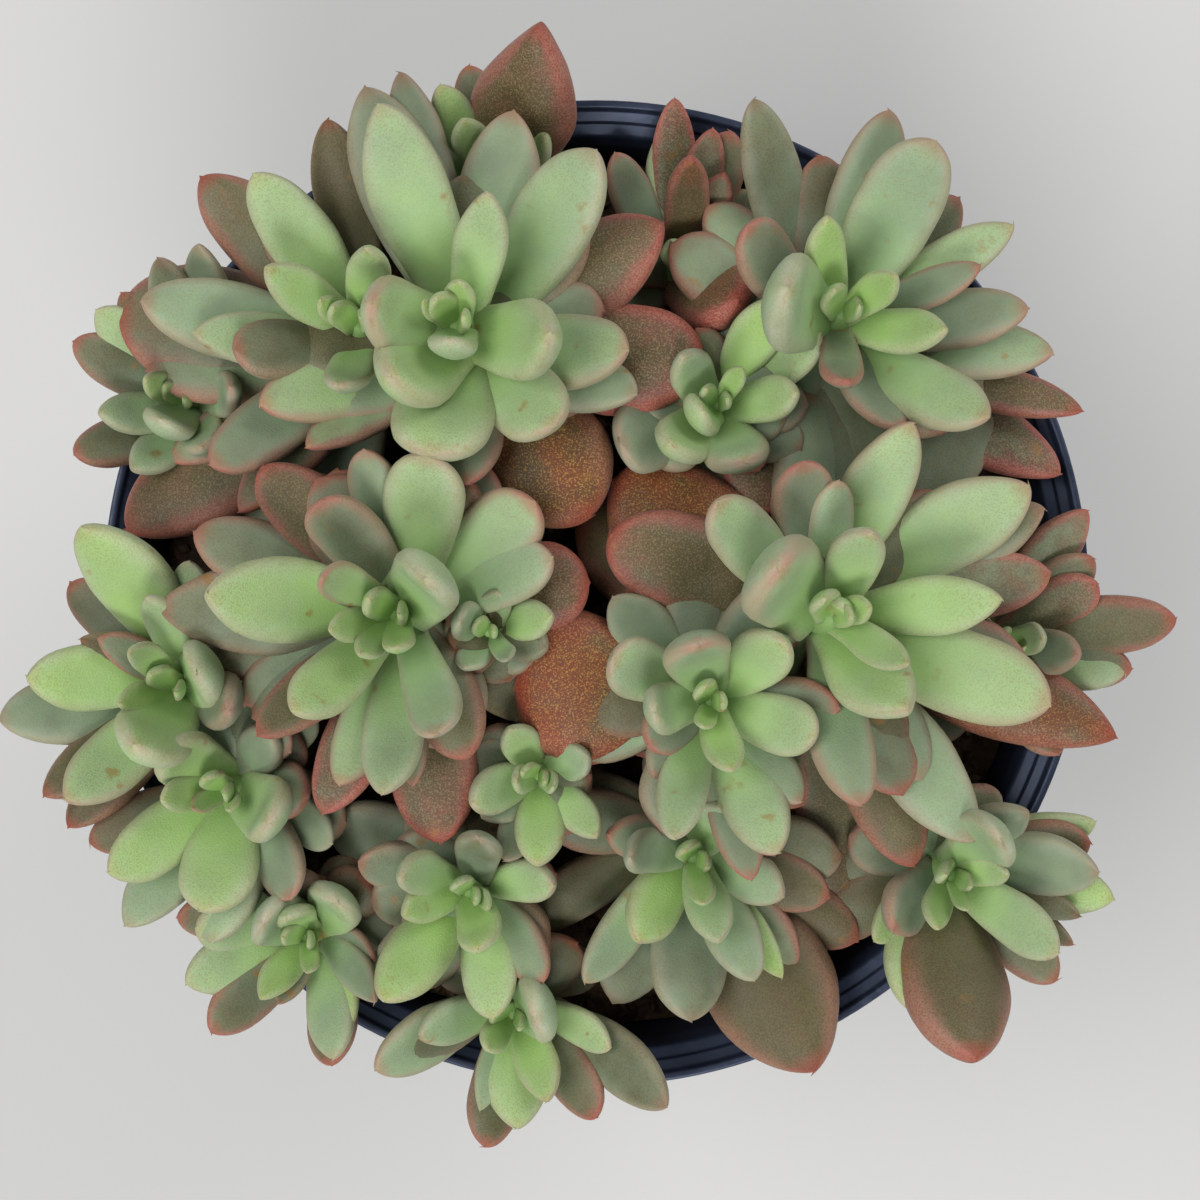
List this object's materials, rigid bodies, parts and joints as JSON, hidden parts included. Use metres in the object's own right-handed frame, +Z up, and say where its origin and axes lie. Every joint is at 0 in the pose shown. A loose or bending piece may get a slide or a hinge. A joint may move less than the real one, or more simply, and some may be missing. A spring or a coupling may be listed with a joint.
{
  "type": "potted echeveria",
  "caption": "Crowded clump of plump grey-green rosettes with bronze and pink-edged old leaves, spilling over the rim of a round dark plastic nursery pot.",
  "frame": {"origin": "middle of the underside of the pot, on the surface it rests on", "axes": "+Z up out of the pot, +X and +Y level, to the picture's right and top"},
  "size_m": [0.1611, 0.1522, 0.1476],
  "materials": {
    "pot_plastic": "satin dark navy-black moulded plastic, a little dusty on the rim",
    "potting_mix": "damp bark fines with a few mineral grains",
    "succulent_leaf": "matt waxy bloom over yellow-green to grey-green, flushed bronze, purple and pink-red on old leaves and margins"
  },
  "bodies": {
    "root": {"pot": "pot_plastic", "soil": "potting_mix", "rosette_left": "succulent_leaf", "rosette_right": "succulent_leaf", "rosette_back": "succulent_leaf", "rosette_front_centre": "succulent_leaf", "rosette_back_left": "succulent_leaf", "rosette_back_right": "succulent_leaf", "rosette_middle": "succulent_leaf", "rosette_left_edge": "succulent_leaf", "offset_centre": "succulent_leaf", "rosette_front_right": "succulent_leaf", "offset_front": "succulent_leaf", "rosette_left_front": "succulent_leaf", "rosette_front": "succulent_leaf", "rosette_front_right_edge": "succulent_leaf", "rosette_front_edge": "succulent_leaf", "rosette_front_left": "succulent_leaf", "offset_back_edge": "succulent_leaf", "offset_right_edge": "succulent_leaf", "offset_left_edge": "succulent_leaf", "rosette_back_low": "succulent_leaf"}
  },
  "joints": []
}
